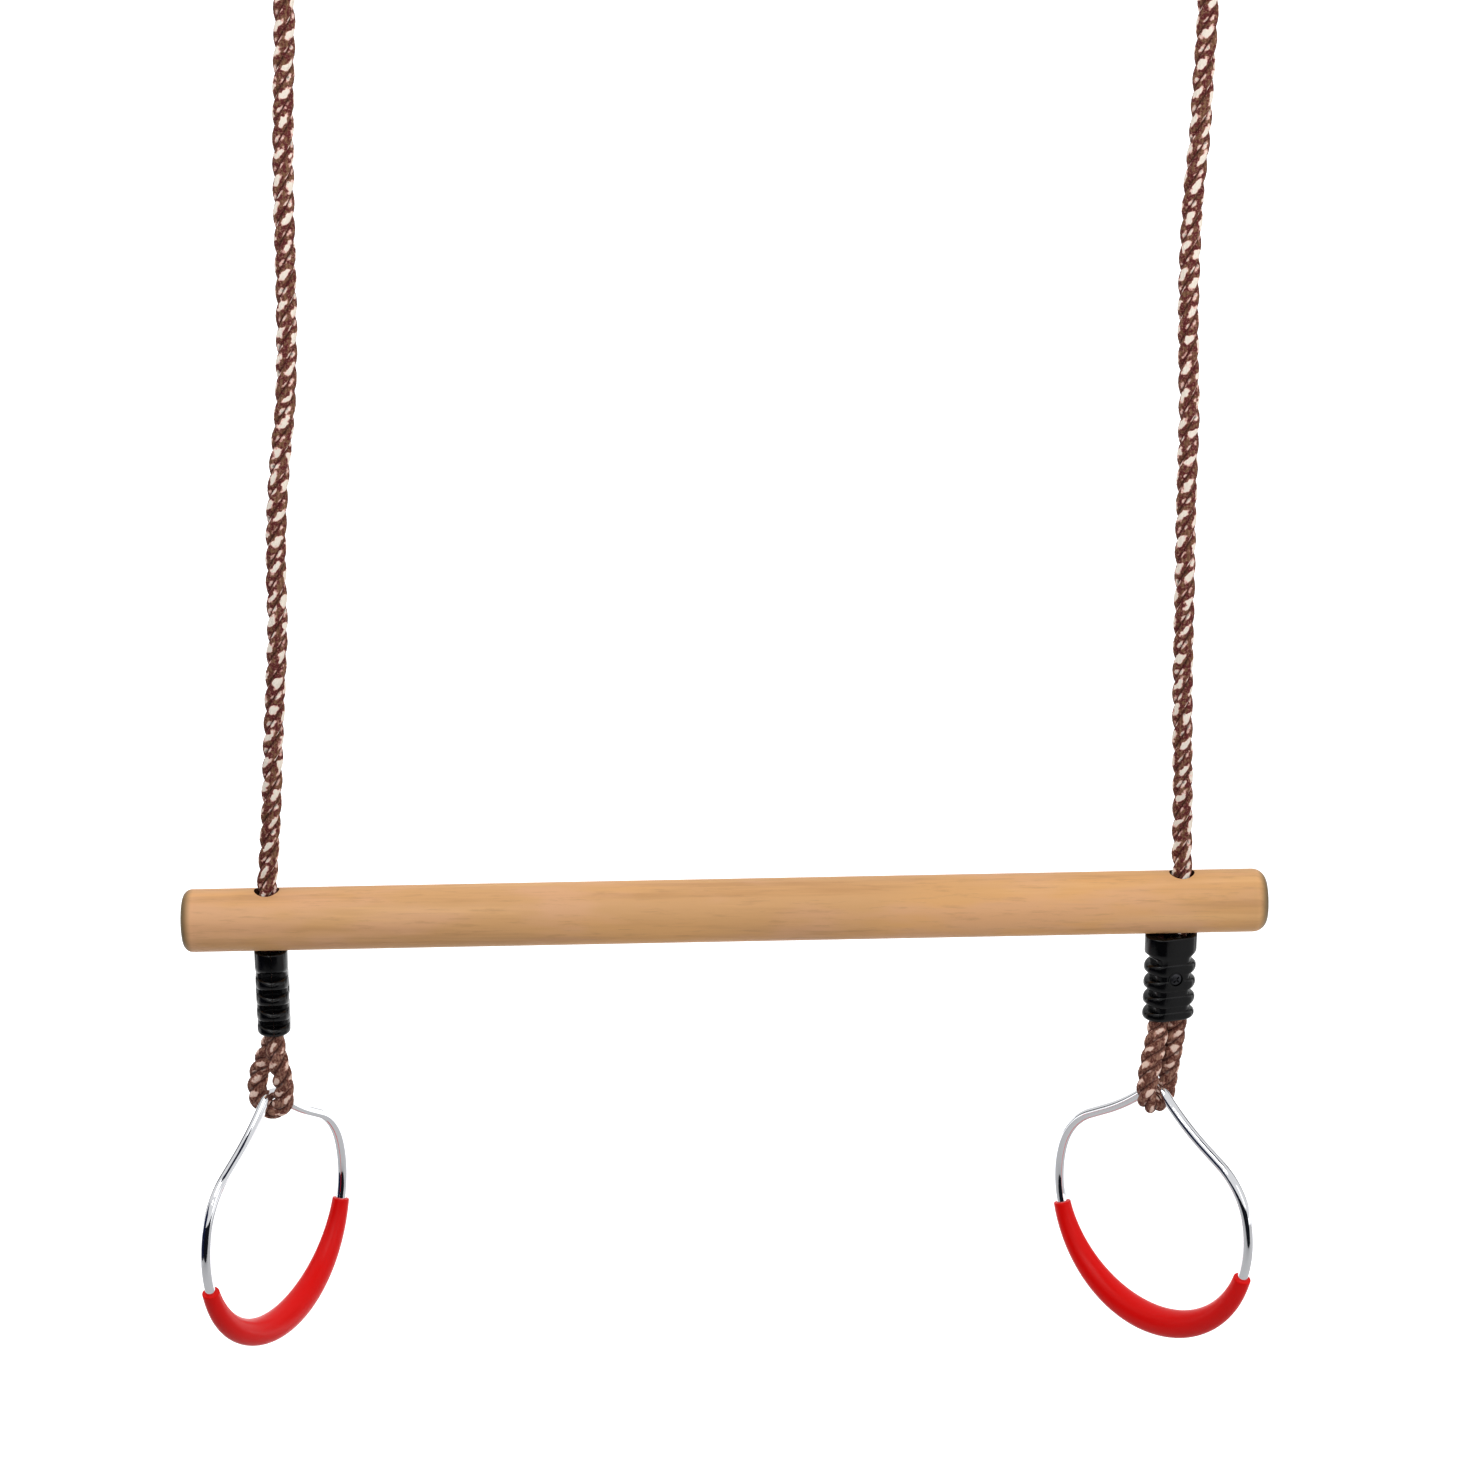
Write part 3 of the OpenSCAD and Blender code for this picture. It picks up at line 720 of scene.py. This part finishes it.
def clamp_halves():
    """The front and back shells' meshes."""
    whole = clamp_outside()
    cut(whole, rod_y(4.6, -9.35, DEEP, 48), "UNION")        # the boss round the screw
    for s in (-1, 1):
        cut(whole, prism(3.55, 6.5, 3.5, s * CHANNEL, -60, 10))
    cut(whole, prism(12, 7, 6.9, 0, -60, -50 + 5))          # the mouth
    cut(whole, rod_y(3.8, -20, HEAD_SEAT, 48))
    cut(whole, rod_y(2.1, -20, 20, 32))
    cut(whole, rod_y(4.2, POCKET_FLOOR, 20, 6))
    halves = []
    for front in (-1, 1):
        bm = bmesh.new()
        bm.from_mesh(whole.data)
        found = bmesh.ops.bisect_plane(
            bm, geom=bm.verts[:] + bm.edges[:] + bm.faces[:], dist=1e-7,
            plane_co=(0, front * SHELL_GAP * MM, 0), plane_no=(0, -front, 0), clear_outer=True)
        rim = [g for g in found["geom_cut"] if isinstance(g, bmesh.types.BMEdge)]
        bmesh.ops.triangle_fill(bm, edges=rim, use_beauty=True, use_dissolve=False)
        mesh = bpy.data.meshes.new("clamp_half")
        bm.to_mesh(mesh)
        bm.free()
        halves.append(mesh)
    bpy.data.objects.remove(whole, do_unlink=True)
    return halves


def mesh_only(obj):
    """A copy of the object's mesh. The object itself is removed."""
    mesh = obj.data.copy()
    bpy.data.objects.remove(obj, do_unlink=True)
    return mesh


def screw_mesh():
    """A pan-head screw with a cross slot, its head towards -Y."""
    rings = ((3.5, -6.85), (3.5, -8.2), (3.3, -8.75), (2.8, -9.05), (1.6, -9.2))
    head = new_object("screw", screw_rings(40, *rings), stack_faces(40, len(rings)), DARK_STEEL)
    reach, width = 2.2, 0.45
    corners = ((-reach, -width), (reach, -width), (reach, width), (-reach, width))
    for turn in (math.radians(45), math.radians(135)):
        c, s = math.cos(turn), math.sin(turn)
        slot = [((x * c - z * s) * MM, y * MM, (SCREW_Z + x * s + z * c) * MM)
                for y in (-7.9, -10.5) for x, z in corners]
        cut(head, new_object("tool", slot, stack_faces(4, 2)))
    cut(head, rod_y(1.9, -7, DEEP - 0.4, 24), "UNION")
    return mesh_only(head)


def nut_mesh():
    """A hex nut round the screw's end, with its corners turned down at both faces."""
    rings = ((3.75, 6.65), (4.04, 6.95), (4.04, 8.5), (3.75, 8.85))
    nut = new_object("nut", screw_rings(6, *rings), stack_faces(6, len(rings)), STEEL)
    cut(nut, rod_y(2.0, 0, 20, 24))
    return mesh_only(nut)


FRONT_SHELL, BACK_SHELL = clamp_halves()
CLAMP_PARTS = (("front", FRONT_SHELL, BLACK, "clamp", 32), ("back", BACK_SHELL, BLACK, "clamp", 32),
               ("screw", screw_mesh(), DARK_STEEL, "fastener", 35),
               ("nut", nut_mesh(), STEEL, "fastener", 35))


def put_clamp(prefix, body, matrix):
    """The four pieces of one clamp."""
    for part, mesh, material, slot, crisp in CLAMP_PARTS:
        own = mesh.copy()
        own.transform(matrix)
        obj = bpy.data.objects.new(f"{prefix}_{part}_piece", own)
        bpy.context.scene.collection.objects.link(obj)
        finish_mesh(obj, material, crisp)
        place(obj, slot, body, f"{prefix}_{part}")


for name, side in SIDES.items():
    wide = clamp_wide(name, side)
    top = joint_pos(f"{name}_loop_rock") + Vector((0, 0, CLAMP_LEN))
    lower = Matrix.Translation(top) @ Matrix.Rotation(math.atan2(wide.y, wide.x), 4, "Z")
    put_clamp(f"{name}_lower_clamp", f"{name}_drop", lower)
    upper = (Matrix.Translation((hook_x(side), 0, UPPER_TOP - CLAMP_LEN))
             @ Matrix.Rotation(math.pi, 4, "X") @ Matrix.Rotation(math.pi / 2, 4, "Z"))
    put_clamp(f"{name}_upper_clamp", "trapeze", upper)


# ---- Gymnastics rings ----------------------------------------------------------------------
# Sizes in millimetres and degrees, in the ring's own plane with its arc's middle at 0, 0.
ARC_R = 69.2
RING_TOP = 1.078 * ARC_R
SHOULDER_R, SHOULDER_FROM = 0.614 * ARC_R, 14
RISE, APEX_RISE = 30, 44            # the slopes of the straight and at the start of the top bend
APEX_R = 9.2
GRIP_HALF = 73.5                    # half of the angle that the grip covers
GRIP_END_R, GRIP_SWELL = 5.0, 3.4
GRIP_STEPS = 120
# The grip's end face, from the rod out: how far along, as a share of half the grip, and how far in
GRIP_EDGE = ((0, 1.9), (0, 0.5), (0.0012, 0.15), (0.005, 0))


def ring_outline(fine):
    """The rod's middle line, starting at the grip's left end."""

    def polar(mid, r, degrees):
        return mid[0] + r * math.cos(math.radians(degrees)), mid[1] + r * math.sin(math.radians(degrees))

    def arc(mid, r, start, stop):
        steps = max(3, round(abs(stop - start) * math.radians(1) * r / fine))
        return [polar(mid, r, start + (stop - start) * i / steps) for i in range(steps)]

    mid = polar((0, 0), ARC_R - SHOULDER_R, SHOULDER_FROM)
    end = polar(mid, SHOULDER_R, 90 - RISE)
    sr, cr = math.sin(math.radians(RISE)), math.cos(math.radians(RISE))
    sa, ca = math.sin(math.radians(APEX_RISE)), math.cos(math.radians(APEX_RISE))
    # the hollow bend and the straight that join the shoulder to the top bend
    dx, dz = end[0] - APEX_R * sa, RING_TOP - APEX_R * (1 - ca) - end[1]
    hx, hz = sa - sr, cr - ca
    hollow_r = (dz - dx * sr / cr) / (hz - hx * sr / cr)
    straight = (dx - hollow_r * hx) / cr
    stop = (end[0] - straight * cr, end[1] + straight * sr)
    hollow = (stop[0] + hollow_r * sr, stop[1] + hollow_r * cr)
    line = max(2, round(straight / fine))
    right = arc((0, 0), ARC_R, GRIP_HALF - 90, SHOULDER_FROM)
    right += arc(mid, SHOULDER_R, SHOULDER_FROM, 90 - RISE)
    right += [(end[0] + (stop[0] - end[0]) * i / line, end[1] + (stop[1] - end[1]) * i / line)
              for i in range(line)]
    right += arc(hollow, hollow_r, 270 - RISE, 270 - APEX_RISE)
    right += arc((0, RING_TOP - APEX_R), APEX_R, 90 - APEX_RISE, 90)
    left = [(-x, z) for x, z in reversed(right)][:-1]
    return arc((0, 0), ARC_R, -90 - GRIP_HALF, GRIP_HALF - 90) + right + [(0, RING_TOP)] + left


def grip_rows():
    """The grip's skin from one end to the other: the share of half the grip, and the radius."""
    rows = []
    for i in range(GRIP_STEPS + 1):
        share = 2 * i / GRIP_STEPS - 1
        r = GRIP_END_R + GRIP_SWELL * max(0.0, math.cos(math.radians(90 * abs(share)))) ** 1.2
        if i == 0:
            rows += [(share + e, r - inward) for e, inward in GRIP_EDGE]
        elif i == GRIP_STEPS:
            rows += [(share - e, r - inward) for e, inward in reversed(GRIP_EDGE)]
        else:
            rows.append((share, r))
    return rows


def ring_pieces(name):
    along, normal = ring_axes(name)
    centre = joint_pos(f"{name}_ring_swing") - Vector((0, 0, RING_TOP * MM))
    points = [centre + along * x * MM + Vector((0, 0, z * MM)) for x, z in ring_outline(1.0)]
    count, sides, verts = len(points), 60, []
    for i, p in enumerate(points):
        way = (points[(i + 1) % count] - points[i - 1]).normalized()
        side = way.cross(normal)
        verts += [p + (side * math.cos(a) + normal * math.sin(a)) * WIRE_R for a in circle(sides)]
    rod = new_object(f"{name}_ring_rod_piece", verts, stack_faces(sides, count, closed=True), CHROME)
    place(rod, "chrome", f"{name}_ring", f"{name}_ring_rod")

    rows, sides, verts = grip_rows(), 40, []
    for share, radius in rows:
        a = math.radians(-90 + GRIP_HALF * share)
        out = along * math.cos(a) + Vector((0, 0, math.sin(a)))
        verts += [centre + out * ARC_R * MM + (out * math.cos(b) + normal * math.sin(b)) * radius * MM
                  for b in circle(sides)]
    grip = new_object(f"{name}_ring_grip_piece", verts, stack_faces(sides, len(rows)), RED, 50)
    place(grip, "grip", f"{name}_ring", f"{name}_ring_grip")


for name in SIDES:
    ring_pieces(name)


# ---- Stage ---------------------------------------------------------------------------------
def card(name, centre, size, rotation, color, glow=0.0, seen=False):
    """A sheet of the stage. One that is not seen only shades the chrome and the plastic."""
    mesh = bpy.data.meshes.new(name)
    w, h = size[0] / 2, size[1] / 2
    mesh.from_pydata([(-w, -h, 0), (w, -h, 0), (w, h, 0), (-w, h, 0)], [], [(0, 1, 2, 3)])
    obj = bpy.data.objects.new(name, mesh)
    obj.location, obj.rotation_euler = centre, rotation
    bpy.context.scene.collection.objects.link(obj)
    s = Shader(name)
    s.set(color=color, rough=0.9, specular=0.1)
    s.base.inputs["Emission Color"].default_value = (1, 1, 1, 1)
    s.base.inputs["Emission Strength"].default_value = glow
    mesh.materials.append(s.material)
    obj.visible_camera = seen


UPRIGHT = math.radians(90)
NEAR_BLACK = (0.01, 0.01, 0.012)
card("floor", (0, 0, -1.36), (100, 100), (0, 0, 0), (0.6, 0.6, 0.6), 1.0, True)
card("front_floor", (0, -1.6, -1.35), (8, 4), (0, 0, 0), (0.5, 0.5, 0.5), 0.16)
card("dark_front", (0, -1.15, -0.985), (2.2, 0.73), (UPRIGHT, 0, 0), (0.008, 0.009, 0.014))
for card_name, x, turned in (("dark_left", -1.25, 60), ("dark_right", 1.25, -60)):
    card(card_name, (x, 0.75, -0.55), (0.35, 1.4), (UPRIGHT, 0, math.radians(turned)), NEAR_BLACK)
card("blue_left", (-1.2, -0.6, -0.75), (1.2, 1.1), (UPRIGHT, 0, math.radians(110)), (0.01, 0.015, 0.05))
card("dark_top", (0.1, -0.42, 0.75), (1.3, 0.5), (0, 0, 0), (0.01, 0.012, 0.03))


def area_light(name, location, target, size, power):
    data = bpy.data.lights.new(name, "AREA")
    data.shape, data.size, data.size_y, data.energy = "RECTANGLE", size[0], size[1], power
    obj = bpy.data.objects.new(name, data)
    obj.location = location
    obj.rotation_euler = (Vector(target) - Vector(location)).to_track_quat("-Z", "Y").to_euler()
    bpy.context.scene.collection.objects.link(obj)


area_light("key", (-0.5, -1.2, 1.6), (0, 0, -0.6), (1.6, 1.2), 15)
area_light("spark", (-0.7, -1.9, 0.9), (0, 0, -0.7), (0.25, 0.25), 3)
area_light("fill", (1.6, -2.0, 0.4), (0, 0, -0.7), (1.0, 1.4), 4)
area_light("low", (0.2, -2.4, -0.7), (0, 0, -0.66), (1.6, 0.5), 8)


world = bpy.data.worlds.new("world")
world.use_nodes = True
background = world.node_tree.nodes["Background"]
background.inputs["Color"].default_value = (1, 1, 1, 1)
background.inputs["Strength"].default_value = 0.78
bpy.context.scene.world = world
bpy.context.scene.view_settings.view_transform = "Standard"
bpy.context.scene.view_settings.look = "None"
